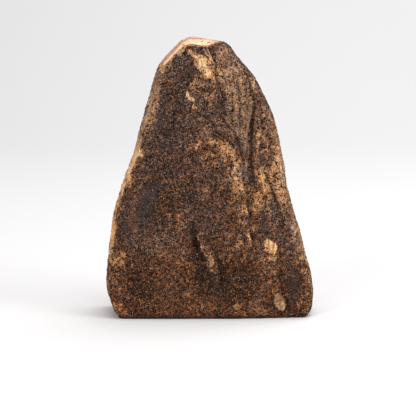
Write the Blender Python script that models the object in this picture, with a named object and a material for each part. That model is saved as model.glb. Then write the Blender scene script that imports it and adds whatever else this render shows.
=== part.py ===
"""A whole guanciale: a cured pork jowl under a crust of cracked black pepper, standing on its broad end.

Metres, +Z up. The side seen in front faces -Y. The origin is on the surface that the jowl stands on, under
the middle of its box. The meat is one solid, with its folds and its coarsest pepper as relief.
"""
import math
import random
from collections import namedtuple

import bmesh
import bpy
from mathutils import Matrix, Vector, noise
from mathutils.geometry import interpolate_bezier

# The jowl's outline and thickness at stations up from the broad end:
# (height, left edge, right edge, depth in front of the middle plane, depth behind it)
STATIONS = (
    (0.000, -0.0895, 0.0945, 0.0265, 0.0250),
    (0.008, -0.0932, 0.0972, 0.0275, 0.0260),
    (0.026, -0.0990, 0.0976, 0.0285, 0.0265),
    (0.050, -0.0978, 0.0944, 0.0295, 0.0265),
    (0.085, -0.0940, 0.0838, 0.0305, 0.0260),
    (0.120, -0.0852, 0.0736, 0.0305, 0.0250),
    (0.140, -0.0794, 0.0704, 0.0300, 0.0245),
    (0.155, -0.0732, 0.0670, 0.0290, 0.0240),
    (0.190, -0.0638, 0.0596, 0.0265, 0.0225),
    (0.212, -0.0568, 0.0498, 0.0255, 0.0220),
    (0.229, -0.0518, 0.0413, 0.0245, 0.0210),
    (0.245, -0.0460, 0.0266, 0.0232, 0.0206),
    (0.258, -0.0425, 0.0178, 0.0220, 0.0198),
    (0.272, -0.0400, 0.0050, 0.0195, 0.0180),
)
TALLEST = STATIONS[-1][0]   # before the knife trims the tip
CELLS = (44, 6, 36)         # the cage's cells across, through and up
CROWDED = 0.6               # where across, from -1 to 1, the cage's columns lie closest together
CROWDING = 0.15             # how much they crowd there
ROW_CROWDING = 1.15         # above 1, the cage's rows lie closer together towards the foot
ROUNDNESS = (0.10, 0.42)    # of a section at the foot and the tip: 0 has square corners, 1 is an ellipse
RIGHT_THINNING = 0.22       # share of the thickness that is gone at the right rim
BACK_HOLLOW = 0.0045        # how far the middle of the back dishes in
FOOT_ROUND = 0.002          # rounding of the edge that the jowl stands on

# Knife cuts that trim the tip: (a point of the cut, the way it faces)
TRIMS = (
    ((-0.0432, -0.018, 0.2396), (-0.72, -0.09, 0.69)),
    ((-0.0215, -0.018, 0.2596), (-0.36, -0.08, 0.93)),
    ((-0.0130, -0.018, 0.2600), (0.13, -0.09, 0.99)),
    ((0.0080, 0.015, 0.2606), (0.30, 0.10, 0.95)),
)

# Folds that drying has drawn into the skin, each along a route of (x, z) points on the front (side -1) or
# the back (side 1). The lip is the height of the low ridges beside the valley.
Fold = namedtuple("Fold", "side depth half_width lip route")
FOLDS = (
    Fold(-1, 0.0078, 0.0052, 0.0026, ((0.038, 0.230), (0.039, 0.196), (0.037, 0.163), (0.039, 0.100))),
    Fold(-1, 0.0044, 0.0046, 0.0012, ((0.044, 0.172), (0.053, 0.145), (0.064, 0.100), (0.071, 0.046))),
    Fold(-1, 0.0038, 0.0040, 0.0010, ((-0.002, 0.262), (0.003, 0.245), (0.007, 0.226), (0.014, 0.208))),
    Fold(-1, 0.0022, 0.0060, 0.0006, ((-0.008, 0.196), (0.011, 0.186), (0.024, 0.166), (0.035, 0.110))),
    Fold(-1, 0.0046, 0.0060, 0.0016, ((-0.014, 0.096), (-0.013, 0.066), (-0.010, 0.040), (-0.007, 0.012))),
    Fold(-1, 0.0026, 0.0050, 0.0012, ((0.004, 0.072), (0.009, 0.048), (0.011, 0.018))),
    Fold(-1, 0.0020, 0.0036, 0.0006, ((0.036, 0.118), (0.039, 0.092), (0.044, 0.066))),
    Fold(-1, 0.0018, 0.0070, 0.0006, ((-0.054, 0.140), (-0.063, 0.108), (-0.069, 0.076))),
    Fold(1, 0.0050, 0.0060, 0.0016, ((-0.020, 0.222), (-0.026, 0.170), (-0.036, 0.112), (-0.040, 0.060))),
    Fold(1, 0.0036, 0.0050, 0.0012, ((0.016, 0.196), (0.022, 0.140), (0.034, 0.090), (0.050, 0.044))),
    Fold(1, 0.0026, 0.0060, 0.0008, ((0.000, 0.120), (0.002, 0.070), (-0.006, 0.024))),
    Fold(1, 0.0022, 0.0050, 0.0006, ((0.048, 0.170), (0.054, 0.128), (0.068, 0.080))),
)
ROUTE_STEPS = 8             # straight runs between two points of a route
LIP_PLACE = 2.2             # how far from the valley its lips are, in half widths
FOLD_START = 0.25           # share of a fold's height at its first point, and the shares of its length
FADE_IN = 0.30              # over which it grows to the full height
FADE_OUT = 0.33             # and dies out at its last point
SWELL = (0.0016, 0.040)     # broad unevenness of the flesh: height, size
LUMPS = (0.0007, 0.013)     # finer unevenness: height, size
PLEATS = (0.0009, 0.0085, 0.070)    # upright pleats on the right of the front: height, width, length
PLEATS_START = 0.03         # the pleats reach their full height this far right of the middle

GRAINS = 110                # the coarsest bits of pepper, which show from a step away
GRAIN_RADIUS = (0.0013, 0.0019)
GRAIN_FLATNESS = (1.0, 0.85, 0.7)
GRAIN_SPACING = 0.0120
GRAIN_SINK = 0.25           # share of its radius that a grain's middle lies under the skin
ON_CUT = 0.98               # a face that faces a knife cut's way this closely lies on the cut
PEPPER_SEED = 11

MERGE = 1e-6                # points closer together than this are one
CREASE_ANGLE = math.radians(40)

CRUST_COLOUR = (0.105, 0.060, 0.036, 1.0)
CRUST_ROUGHNESS = 0.8


def clear_scene():
    """Removes what the scene holds at the start."""
    for thing in list(bpy.data.objects):
        bpy.data.objects.remove(thing, do_unlink=True)


def slope_at(i, column):
    """How fast a column of the stations changes with height, at station i."""
    low, high = STATIONS[max(i - 1, 0)], STATIONS[min(i + 1, len(STATIONS) - 1)]
    return (high[column] - low[column]) / (high[0] - low[0])


def station_at(height):
    """Left edge, right edge, front depth and back depth, on smooth curves through the stations."""
    i = max(k for k, station in enumerate(STATIONS[:-1]) if station[0] <= height)
    low, high = STATIONS[i], STATIONS[i + 1]
    span = high[0] - low[0]
    f = (height - low[0]) / span
    return [
        low[k] * (1 + 2 * f) * (1 - f) ** 2
        + high[k] * f * f * (3 - 2 * f)
        + span * f * (1 - f) * (slope_at(i, k) * (1 - f) - slope_at(i + 1, k) * f)
        for k in range(1, len(low))
    ]


def jowl_point(a, b, c):
    """Where a point of the cube from -1 to 1 lies on the jowl: a across, b from front to back, c up."""
    height = TALLEST * ((c + 1) / 2) ** ROW_CROWDING
    left, right, front, back = station_at(height)
    rounding = FOOT_ROUND - math.sqrt(FOOT_ROUND ** 2 - max(FOOT_ROUND - height, 0) ** 2)
    half_width = (right - left) / 2 - rounding
    depth = (front if b < 0 else back) - rounding
    depth *= 1 - RIGHT_THINNING * max(a, 0) ** 2
    roundness = ROUNDNESS[0] + (ROUNDNESS[1] - ROUNDNESS[0]) * height / TALLEST
    hollow = BACK_HOLLOW * max(b, 0) * (1 - a * a) * math.sin(math.pi * height / TALLEST)
    return Vector((
        (left + right) / 2 + half_width * a * math.sqrt(1 - roundness * b * b / 2),
        depth * b * math.sqrt(1 - roundness * a * a / 2) - hollow,
        height,
    ))


def smooth_route(points):
    """Points of the smooth curve through a fold's points."""
    knots = [Vector(point) for point in points]
    ends = [knots[0], *knots, knots[-1]]
    route = [knots[0]]
    for before, start, end, after in zip(ends, ends[1:], ends[2:], ends[3:]):
        leave = start + (end - before) / 6
        reach = end - (after - start) / 6
        route.extend(interpolate_bezier(start, leave, reach, end, ROUTE_STEPS + 1)[1:])
    return route


def fold_height(fold, route, spot):
    """How far a fold moves the skin outwards at the spot (x, z)."""
    reach, along = math.inf, 0.0
    for i, (start, end) in enumerate(zip(route, route[1:])):
        run = end - start
        share = min(max((spot - start).dot(run) / run.length_squared, 0.0), 1.0)
        off = (spot - start - run * share).length
        if off < reach:
            reach, along = off, (i + share) / (len(route) - 1)
    fade = min(1.0, FOLD_START + (1 - FOLD_START) * along / FADE_IN) * min(1.0, (1 - along) / FADE_OUT)
    valley = math.exp(-((reach / fold.half_width) ** 2))
    lips = math.exp(-((reach / fold.half_width - LIP_PLACE) ** 2))
    return fade * (fold.lip * lips - fold.depth * valley)


def unevenness(place):
    """The swelling, lumps and pleats of the skin at a point of the jowl, outwards."""
    swell = SWELL[0] * noise.noise(place / SWELL[1])
    lumps = LUMPS[0] * noise.noise(place / LUMPS[1])
    pleats = PLEATS[0] * noise.noise(Vector((place.x / PLEATS[1], 0, place.z / PLEATS[2])))
    return swell + lumps + pleats * min(max(place.x / PLEATS_START, 0.0), 1.0)


def wrinkle(mesh):
    """Moves each point of the skin in or out by its folds and unevenness. The foot stays flat."""
    folds = [(fold, smooth_route(fold.route)) for fold in FOLDS]
    mesh.normal_update()
    moves = []
    for vertex in mesh.verts:
        height = unevenness(vertex.co)
        for fold, route in folds:
            facing = vertex.normal.y * fold.side
            if facing > 0:
                height += facing * fold_height(fold, route, vertex.co.xz)
        moves.append(vertex.normal * height * min(vertex.co.z / FOOT_ROUND, 1.0))
    for vertex, move in zip(mesh.verts, moves):
        vertex.co += move


def cut_flat(mesh, point, facing):
    """Cuts off what lies beyond a plane, and closes the cut with one flat face."""
    cut = bmesh.ops.bisect_plane(
        mesh,
        geom=mesh.verts[:] + mesh.edges[:] + mesh.faces[:],
        dist=MERGE,
        plane_co=point,
        plane_no=facing,
        clear_outer=True,
    )
    rim = [e for e in cut["geom_cut"] if isinstance(e, bmesh.types.BMEdge)]
    bmesh.ops.contextual_create(mesh, geom=rim)


def cage_cut(axis, share):
    """Where a cut of the cage goes, from -1 to 1, for its share of the cells along that axis."""
    place = 2 * share - 1
    if axis == 0:
        place -= CROWDING * (1 - place * place) * math.sin(math.pi * (place - CROWDED))
    return place


def jowl_mesh():
    """The meat: a cube cut into a cage, shaped to the stations, wrinkled, and trimmed by the knife."""
    mesh = bmesh.new()
    bmesh.ops.create_cube(mesh, size=2)
    for axis, cells in enumerate(CELLS):
        way = Vector([float(axis == k) for k in range(3)])
        for i in range(1, cells):
            bmesh.ops.bisect_plane(
                mesh,
                geom=mesh.verts[:] + mesh.edges[:] + mesh.faces[:],
                dist=MERGE,
                plane_co=way * cage_cut(axis, i / cells),
                plane_no=way,
            )
    for vertex in mesh.verts:
        vertex.co = jowl_point(*vertex.co)
    wrinkle(mesh)
    bmesh.ops.dissolve_faces(mesh, faces=[f for f in mesh.faces if f.calc_center_median().z < MERGE])
    for point, facing in TRIMS:
        cut_flat(mesh, Vector(point), Vector(facing))
    bmesh.ops.triangulate(mesh, faces=mesh.faces[:])
    return mesh


def crust_material():
    """The dark, dry crust of pepper."""
    material = bpy.data.materials.new("pepper_crust")
    material.use_nodes = True
    shader = material.node_tree.nodes["Principled BSDF"]
    shader.inputs["Base Color"].default_value = CRUST_COLOUR
    shader.inputs["Roughness"].default_value = CRUST_ROUGHNESS
    shader.inputs["Metallic"].default_value = 0.0
    return material


def grain_places(mesh, chance):
    """Evenly spread places for the coarsest pepper, off the cuts and the foot: (point, way out)."""
    cuts = [Vector(facing).normalized() for _, facing in TRIMS]
    faces = [
        face
        for face in mesh.faces
        if face.calc_center_median().z > GRAIN_SPACING and all(face.normal.dot(cut) < ON_CUT for cut in cuts)
    ]
    areas = [face.calc_area() for face in faces]
    places = []
    while len(places) < GRAINS:
        face = chance.choices(faces, weights=areas)[0]
        point = face.calc_center_median()
        if all((point - other).length > GRAIN_SPACING for other, _ in places):
            places.append((point, face.normal.copy()))
    return places


def add_grain(collection, point, way_out, chance):
    """One bit of cracked pepper, turned at random and sunk into the skin."""
    radius = chance.uniform(*GRAIN_RADIUS)
    turn = Matrix.Rotation(chance.uniform(0, math.tau), 4, way_out)
    tilt = way_out.to_track_quat("Z", "Y").to_matrix().to_4x4()
    shape = Matrix.Diagonal((*(radius * flat for flat in GRAIN_FLATNESS), 1.0))
    grain = bmesh.new()
    bmesh.ops.create_icosphere(grain, subdivisions=1, radius=1.0)
    grain.transform(Matrix.Translation(point - way_out * radius * GRAIN_SINK) @ turn @ tilt @ shape)
    mesh = bpy.data.meshes.new("pepper_grain")
    grain.to_mesh(mesh)
    grain.free()
    collection.objects.link(bpy.data.objects.new("pepper_grain", mesh))


def fuse(body, collection):
    """Joins the collection's closed pieces to the body, and removes them."""
    union = body.modifiers.new("grains", "BOOLEAN")
    union.operation = "UNION"
    union.operand_type = "COLLECTION"
    union.collection = collection
    union.solver = "MANIFOLD"
    bpy.context.view_layer.objects.active = body
    bpy.ops.object.modifier_apply(modifier=union.name)
    for piece in list(collection.objects):
        bpy.data.objects.remove(piece, do_unlink=True)
    bpy.data.collections.remove(collection)


def centre_on_origin(body):
    """Moves the mesh so that the middle of its box's bottom is at the origin."""
    corners = [vertex.co for vertex in body.data.vertices]
    low = Vector(map(min, *corners))
    high = Vector(map(max, *corners))
    middle = (low + high) / 2
    body.data.transform(Matrix.Translation((-middle.x, -middle.y, -low.z)))


def main():
    clear_scene()
    chance = random.Random(PEPPER_SEED)
    parts = bpy.data.collections.new("guanciale")
    grains = bpy.data.collections.new("coarse_pepper")
    for collection in (parts, grains):
        bpy.context.scene.collection.children.link(collection)

    meat = jowl_mesh()
    for point, way_out in grain_places(meat, chance):
        add_grain(grains, point, way_out, chance)
    mesh = bpy.data.meshes.new("guanciale")
    meat.to_mesh(mesh)
    meat.free()
    jowl = bpy.data.objects.new("guanciale", mesh)
    parts.objects.link(jowl)
    fuse(jowl, grains)
    centre_on_origin(jowl)
    jowl.data.materials.clear()
    jowl.data.materials.append(crust_material())
    jowl.data.shade_smooth()
    jowl.data.set_sharp_from_angle(angle=CREASE_ANGLE)


main()
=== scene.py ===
"""A whole guanciale: cured jowl skin and fat, a crust of cracked pepper, and the knife cuts at its tip.

Metres, +Z up. The side seen in front faces -Y.
"""
import math
from collections import namedtuple

import bmesh
import bpy
import numpy as np
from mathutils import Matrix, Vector, kdtree, noise
from mathutils.geometry import interpolate_bezier


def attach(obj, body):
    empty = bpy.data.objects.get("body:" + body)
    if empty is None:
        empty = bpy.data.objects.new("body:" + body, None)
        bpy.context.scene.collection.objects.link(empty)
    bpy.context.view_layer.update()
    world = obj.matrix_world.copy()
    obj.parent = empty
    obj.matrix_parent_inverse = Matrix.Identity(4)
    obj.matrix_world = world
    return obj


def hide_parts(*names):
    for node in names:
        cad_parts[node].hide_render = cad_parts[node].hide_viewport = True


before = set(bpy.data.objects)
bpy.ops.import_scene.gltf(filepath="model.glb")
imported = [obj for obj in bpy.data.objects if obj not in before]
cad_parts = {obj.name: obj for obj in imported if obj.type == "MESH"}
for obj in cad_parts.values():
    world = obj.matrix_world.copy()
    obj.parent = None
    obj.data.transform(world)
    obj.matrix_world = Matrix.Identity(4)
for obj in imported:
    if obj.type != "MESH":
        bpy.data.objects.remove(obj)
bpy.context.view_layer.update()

scene = bpy.context.scene

# How far the jowl's own drawing was moved to stand centred on the origin
CENTRED = np.array((0.0002, 0.0029, 0.0))

# ---------------------------------------- camera, light and floor

CAMERA_TARGET = Vector((-0.0017, 0.0, 0.1030))
CAMERA_DISTANCE = 1.53
CAMERA_RISE = math.radians(11.3)
CAMERA_LENS = 139.5

WHITE = (0.78, 0.775, 0.78, 1.0)
FLOOR_SIZE = 7.0
WALL_PLACE = 2.2            # how far behind the jowl the floor turns up into the wall
WALL_HEIGHT = 3.4
SWEEP = 1.2                 # radius of that turn
SAME_PLACE = 1e-5           # points closer than this are one

AT_JOWL = (0.0, 0.0, 0.12)
AT_WALL = (0.2, 1.7, 0.1)
Softbox = namedtuple("Softbox", "name place target size power colour")
SOFTBOXES = (
    Softbox("softbox_over", (0.10, -0.30, 1.80), AT_JOWL, 1.3, 15.0, (1.0, 0.985, 0.975)),
    Softbox("softbox_left", (-1.10, -1.30, 1.15), AT_JOWL, 0.9, 11.0, (1.0, 0.99, 0.985)),
    Softbox("softbox_right", (1.45, -0.70, 1.00), AT_JOWL, 1.0, 13.5, (1.0, 0.99, 0.985)),
    Softbox("softbox_wall", (0.7, 0.5, 1.9), AT_WALL, 1.2, 15.0, (1.0, 1.0, 1.0)),
)
AIR_LIGHT = 0.42


def nothing_selected():
    for thing in bpy.context.selected_objects:
        thing.select_set(False)


def only(piece):
    """Makes a piece the one selected, active object."""
    nothing_selected()
    piece.select_set(True)
    bpy.context.view_layer.objects.active = piece


def aim(thing, target):
    thing.rotation_euler = (target - thing.location).to_track_quat("-Z", "Y").to_euler()


def add_camera():
    camera = bpy.data.objects.new("camera", bpy.data.cameras.new("camera"))
    scene.collection.objects.link(camera)
    back = Vector((0.0, -math.cos(CAMERA_RISE), math.sin(CAMERA_RISE)))
    camera.location = CAMERA_TARGET + back * CAMERA_DISTANCE
    camera.data.lens = CAMERA_LENS
    camera.data.clip_start = 0.1
    camera.data.clip_end = 20.0
    aim(camera, CAMERA_TARGET)
    scene.camera = camera


def add_lights():
    for box in SOFTBOXES:
        light = bpy.data.objects.new(box.name, bpy.data.lights.new(box.name, "AREA"))
        scene.collection.objects.link(light)
        light.location = box.place
        light.data.shape = "DISK"
        light.data.size = box.size
        light.data.energy = box.power
        light.data.color = box.colour
        aim(light, Vector(box.target))
    air = bpy.data.worlds.new("studio_air")
    air.use_nodes = True
    air.node_tree.nodes["Background"].inputs["Color"].default_value = (1.0, 1.0, 1.0, 1.0)
    air.node_tree.nodes["Background"].inputs["Strength"].default_value = AIR_LIGHT
    scene.world = air
    scene.view_settings.view_transform = "Standard"
    scene.view_settings.look = "None"


def add_backdrop():
    """A pale floor that sweeps up into a wall behind the jowl."""
    nothing_selected()
    bpy.ops.mesh.primitive_plane_add(size=FLOOR_SIZE, location=(0, WALL_PLACE - FLOOR_SIZE / 2, 0))
    backdrop = bpy.context.object
    backdrop.name = "backdrop"
    bpy.ops.object.transform_apply(location=True, rotation=True, scale=True)
    bpy.ops.object.mode_set(mode="EDIT")
    mesh = bmesh.from_edit_mesh(backdrop.data)
    for part in (*mesh.faces, *mesh.edges, *mesh.verts):
        part.select_set(False)
    back_edge = max(mesh.edges, key=lambda e: min(v.co.y for v in e.verts))
    back_edge.select_set(True)
    bmesh.update_edit_mesh(backdrop.data)
    bpy.ops.mesh.extrude_edges_move(TRANSFORM_OT_translate={"value": (0, 0, WALL_HEIGHT)})
    bpy.ops.mesh.select_all(action="DESELECT")
    mesh = bmesh.from_edit_mesh(backdrop.data)
    for edge in mesh.edges:
        if all(abs(v.co.y - WALL_PLACE) < SAME_PLACE and v.co.z < SAME_PLACE for v in edge.verts):
            edge.select_set(True)
    bmesh.update_edit_mesh(backdrop.data)
    bpy.ops.mesh.bevel(offset=SWEEP, segments=24, affect="EDGES")
    bpy.ops.object.mode_set(mode="OBJECT")
    backdrop.data.shade_smooth()
    paper = bpy.data.materials.new("pale_paper")
    paper.use_nodes = True
    shader = paper.node_tree.nodes["Principled BSDF"]
    shader.inputs["Base Color"].default_value = WHITE
    shader.inputs["Roughness"].default_value = 0.9
    shader.inputs["Specular IOR Level"].default_value = 0.2
    backdrop.data.materials.append(paper)


# ---------------------------------------- the jowl's shape

VOXEL = 0.00117             # size of the even mesh's faces
SMOOTHING = 24              # rounds that smooth the solid's flat facets away
CUT_GUARD = 0.0030          # skin this near a knife cut isn't smoothed
FOOT_GUARD = 0.0020         # nor is skin this near the foot
ON_CUT = 0.0007             # a point this near a cut's plane is on the cut

# The knife cuts at the tip: a point of each, and the way that it faces
TRIMS = (
    ((-0.0432, -0.018, 0.2396), (-0.72, -0.09, 0.69)),
    ((-0.0215, -0.018, 0.2596), (-0.36, -0.08, 0.93)),
    ((-0.0130, -0.018, 0.2600), (0.13, -0.09, 0.99)),
    ((0.0080, 0.015, 0.2606), (0.30, 0.10, 0.95)),
)

CRUSTED_END = 0.0058        # how far across the tip the crust begins
CRUSTED_SLANT = 0.36        # how much further that is for each step towards the back
CUT_FOOT = 0.2385           # the skin's edge at the low left end of the cut
TRIMMED_EDGE = 0.72         # how bare the knife left the skin beside the cut
SCAR_DEPTH = 0.00035        # how deep bare skin lies under the crust

# Sharp creases on the front (-1) and back (1) of the skin, in millimetres: how deep, how wide, how high the
# lips beside them, and the places across and up that they run through
Crease = namedtuple("Crease", "side depth width lip route")
CREASES = (
    Crease(-1, 2.6, 1.0, 0.6,
           ((39, 220), (41, 202), (39, 189), (39, 178), (38, 166), (38, 154), (39, 141), (39, 128))),
    Crease(-1, 1.2, 0.9, 0.5, ((46, 158), (48, 147), (54, 134), (59, 121), (64, 107), (68, 92), (70, 52))),
    Crease(-1, 1.5, 0.8, 0.7,
           ((-3, 262), (0, 254), (4, 245), (5, 238), (6, 227), (10, 217), (15, 205), (22, 186))),
    Crease(-1, 1.2, 0.6, 0.6, ((1, 261), (4, 251), (8, 245), (11, 238))),
    Crease(-1, 1.6, 0.9, 0.8, ((-8, 202), (1, 188), (6, 180), (13, 174), (20, 168), (26, 158))),
    Crease(-1, 1.6, 0.9, 0.7, ((4, 202), (11, 193), (17, 185), (23, 178), (27, 166), (31, 150), (33, 136))),
    Crease(-1, 1.2, 1.1, 0.7, ((18, 222), (21, 202), (20, 190), (24, 176))),
    Crease(-1, 1.3, 1.1, 0.7, ((30, 234), (34, 214), (34, 200), (31, 186))),
    Crease(-1, 1.2, 1.1, 0.6, ((34, 234), (37, 222), (38, 210))),
    Crease(-1, 1.2, 1.1, 0.7, ((24, 232), (27, 212), (27, 194), (29, 180))),
    Crease(-1, 1.5, 0.8, 0.5, ((31, 150), (33, 138), (35, 124), (36, 110), (37, 96))),
    Crease(-1, 1.2, 1.2, 0.4, ((45, 204), (47, 190), (49, 176))),
    Crease(-1, 1.1, 1.2, 0.3, ((52, 196), (54, 180), (57, 160), (58, 146))),
    Crease(-1, 1.7, 1.4, 0.8, ((32, 134), (35, 113), (38, 100), (37, 91), (42, 70), (46, 48))),
    Crease(-1, 0.9, 1.2, 0.5, ((24, 150), (28, 124), (29, 98), (33, 72))),
    Crease(-1, 2.4, 2.2, 0.8, ((-17, 96), (-15, 82), (-10, 66), (-4, 52), (0, 34), (2, 12))),
    Crease(-1, 1.5, 1.5, 0.7, ((-4, 86), (4, 66), (10, 50), (11, 34), (12, 16))),
    Crease(-1, 0.9, 1.2, 0.5, ((72, 88), (75, 62), (76, 38))),
    Crease(-1, 0.9, 1.2, 0.5, ((79, 84), (83, 60), (85, 32))),
    Crease(-1, 0.8, 1.1, 0.5, ((65, 68), (67, 46), (66, 30))),
    Crease(-1, 1.0, 1.0, 0.6, ((84, 96), (88, 74), (91, 44), (92, 20))),
    Crease(-1, 0.9, 0.9, 0.5, ((88, 60), (89, 36), (88, 14))),
    Crease(-1, 0.8, 1.3, 0.4, ((-76, 60), (-74, 40), (-70, 16))),
    Crease(-1, 0.8, 1.3, 0.4, ((-84, 44), (-82, 26), (-78, 8))),
    Crease(-1, 0.7, 1.2, 0.4, ((-50, 144), (-61, 112), (-68, 80))),
    Crease(1, 2.0, 1.8, 0.9, ((-20, 222), (-26, 170), (-36, 112), (-40, 60))),
    Crease(1, 1.6, 1.6, 0.8, ((16, 196), (22, 140), (34, 90), (50, 44))),
    Crease(1, 1.0, 1.5, 0.6, ((0, 120), (2, 70), (-6, 24))),
    Crease(1, 1.0, 1.4, 0.5, ((48, 170), (54, 128), (68, 80))),
    Crease(1, 0.9, 1.3, 0.5, ((-40, 180), (-48, 140), (-58, 96), (-62, 50))),
    Crease(1, 0.8, 1.3, 0.4, ((-2, 238), (0, 206), (-4, 170))),
    Crease(1, 0.8, 1.3, 0.4, ((30, 150), (40, 112), (48, 80))),
)

# Thin raised folds: side, how high, how wide, how strong the painted highlight on their crest is, route
Ridge = namedtuple("Ridge", "side rise width grey route")
RIDGES = (
    Ridge(-1, 1.3, 1.1, 1.0, ((41, 207), (38, 196), (35, 187), (33, 177), (32, 168), (32, 160), (33, 151))),
    Ridge(-1, 1.1, 1.3, 0.9, ((32, 160), (33, 151), (33, 141), (34, 133), (35, 125))),
    Ridge(-1, 2.6, 2.0, 0.62, ((-12, 94), (-10, 80), (-5, 67), (1, 56), (5, 50), (6, 34), (7, 18))),
    Ridge(-1, 0.9, 1.2, 0.45, ((3, 206), (13, 194), (22, 182), (27, 170))),
    Ridge(-1, 0.8, 1.2, 0.30, ((-25, 112), (-24, 98), (-24, 84))),
    Ridge(-1, 0.9, 1.2, 0.35, ((22, 226), (24, 210), (24, 192))),
    Ridge(1, 1.4, 1.5, 0.7, ((10, 232), (6, 204), (12, 170), (16, 140))),
    Ridge(1, 1.2, 1.5, 0.4, ((-50, 90), (-48, 66), (-54, 34))),
)
ROUTE_STEPS = 8

# Patches on the front (-1) or back (1) of the skin, in millimetres: place across and up, half width, half
# height, lean in degrees from upright, strength
Patch = namedtuple("Patch", "side x z half_width half_height lean strength")

# Clean-edged scars, where the paste has come off down to the fat
SCARS = (
    Patch(-1, -12, 248, 3.0, 4.0, -40, 0.84),
    Patch(-1, -6, 242, 4.4, 7.2, -30, 1.04),
    Patch(-1, -2, 234, 3.5, 5.2, -20, 1.04),
    Patch(-1, -6.6, 241, 6.4, 11.5, -28, 0.71),
    Patch(-1, -20, 213, 1.7, 4.8, -14, 0.84),
    Patch(-1, -17, 210, 1.6, 3.6, -40, 0.84),
    Patch(-1, -15, 203, 2.0, 3.0, -20, 0.74),
    Patch(-1, 53.6, 72.0, 2.8, 6.4, 0, 0.86),
    Patch(-1, 57.0, 70.4, 3.0, 6.8, 0, 0.86),
    Patch(-1, 60.2, 68.8, 2.8, 6.4, 0, 0.86),
    Patch(-1, 58, 60, 3.6, 3.0, 0, 0.62),
    Patch(-1, -64, 129, 1.0, 14.0, 31, 0.60),
    Patch(1, -33, 201, 5, 10, 16, 0.98),
    Patch(1, -70, 52, 4, 8, 8, 0.92),
)

# Smooth oval knobs of rind that stand up from the skin, with a furrow round them
KNOBS = (
    Patch(-1, 66, 16, 5.4, 9.2, -16, 1.0),
    Patch(1, 30, 60, 5, 8, 20, 1.0),
)
KNOB_RISE = 0.0016
KNOB_FURROW = 0.0015
KNOB_RING = 1.8

# Ragged places where the pepper has rubbed off
BARE_SKIN = (
    Patch(-1, 2.4, 244, 1.4, 8.0, -20, 0.82),
    Patch(-1, -0.6, 255, 1.1, 5.0, -22, 0.80),
    Patch(-1, -5, 253, 1.4, 4.8, -20, 0.70),
    Patch(-1, -15, 251, 4.6, 3.4, -30, 0.66),
    Patch(-1, -25, 257, 2.2, 8.0, 52, 0.76),
    Patch(-1, -36, 245, 1.6, 6.0, 50, 0.60),
    Patch(-1, 8, 242, 3.0, 4.0, 0, 0.52),
    Patch(-1, 4, 231, 3.8, 4.4, 0, 0.70),
    Patch(-1, 9, 235, 5.0, 4.6, 0, 0.64),
    Patch(-1, -15, 224, 3.0, 3.0, 0, 0.54),
    Patch(-1, -8, 222, 3.4, 2.4, 0, 0.54),
    Patch(-1, -12, 166, 2.2, 5.2, -4, 0.66),
    Patch(-1, 0, 158, 3.0, 1.8, 0, 0.46),
    Patch(-1, 8, 166, 3.0, 2.2, 0, 0.46),
    Patch(-1, 1, 171, 4.0, 2.6, 10, 0.58),
    Patch(-1, 17, 164, 4.0, 3.2, -30, 0.62),
    Patch(-1, 20, 159, 2.8, 4.6, -24, 0.54),
    Patch(-1, 22, 151, 2.6, 5.8, -18, 0.54),
    Patch(-1, 25, 142, 2.8, 5.0, -14, 0.50),
    Patch(-1, 29, 131, 2.4, 6.9, -18, 0.66),
    Patch(-1, 23, 135, 3.2, 5.0, -16, 0.42),
    Patch(-1, 47, 120, 3.0, 4.0, 0, 0.56),
    Patch(-1, 34, 120, 1.8, 5.8, -14, 0.66),
    Patch(-1, 34, 105, 3.0, 3.8, 0, 0.52),
    Patch(-1, 38, 80, 1.6, 7.6, -28, 0.80),
    Patch(-1, 29, 75, 2.3, 2.7, 0, 0.54),
    Patch(-1, 44, 169, 1.6, 8.4, 0, 0.86),
    Patch(-1, 44, 184, 1.3, 5.0, 0, 0.56),
    Patch(-1, 50, 161, 4.0, 1.4, -16, 0.84),
    Patch(-1, 51, 172, 1.3, 5.0, -20, 0.66),
    Patch(-1, 48, 138, 3.6, 5.9, 0, 0.66),
    Patch(-1, 51, 128, 3.8, 6.0, 0, 0.64),
    Patch(-1, 42, 116, 2.6, 3.4, -10, 0.56),
    Patch(-1, 24, 12, 5.4, 3.6, 0, 0.54),
    Patch(-1, 62, 26, 5.0, 2.6, 0, 0.56),
    Patch(-1, -64, 16, 5.0, 7.0, 0, 0.54),
    Patch(-1, 40, 221, 2.4, 6.0, -20, 0.58),
    Patch(-1, 60, 145, 2.8, 5.8, 0, 0.54),
    Patch(-1, 64, 133, 2.8, 6.7, -10, 0.62),
    Patch(-1, 65, 122, 2.2, 3.2, 0, 0.44),
    Patch(-1, 46, 108, 1.9, 2.3, 0, 0.46),
    Patch(-1, 57, 142, 2.4, 2.5, 0, 0.58),
    Patch(-1, 2, 54, 2.4, 4.4, -16, 0.64),
    Patch(-1, -80, 62, 1.9, 3.1, 20, 0.62),
    Patch(1, 14, 162, 4, 12, -10, 0.62),
    Patch(1, 20, 141, 3, 6, -16, 0.56),
    Patch(1, -52, 122, 4, 8, 12, 0.62),
    Patch(1, -44, 108, 3, 4, 0, 0.56),
    Patch(1, 46, 102, 4, 11, -14, 0.60),
    Patch(1, -14, 90, 3, 9, 4, 0.54),
    Patch(1, 20, 38, 5, 4, 0, 0.54),
    Patch(1, 72, 30, 3, 9, -6, 0.58),
    Patch(1, 2, 230, 3, 7, -8, 0.60),
    Patch(1, -58, 172, 2.5, 10, 16, 0.60),
)

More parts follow.
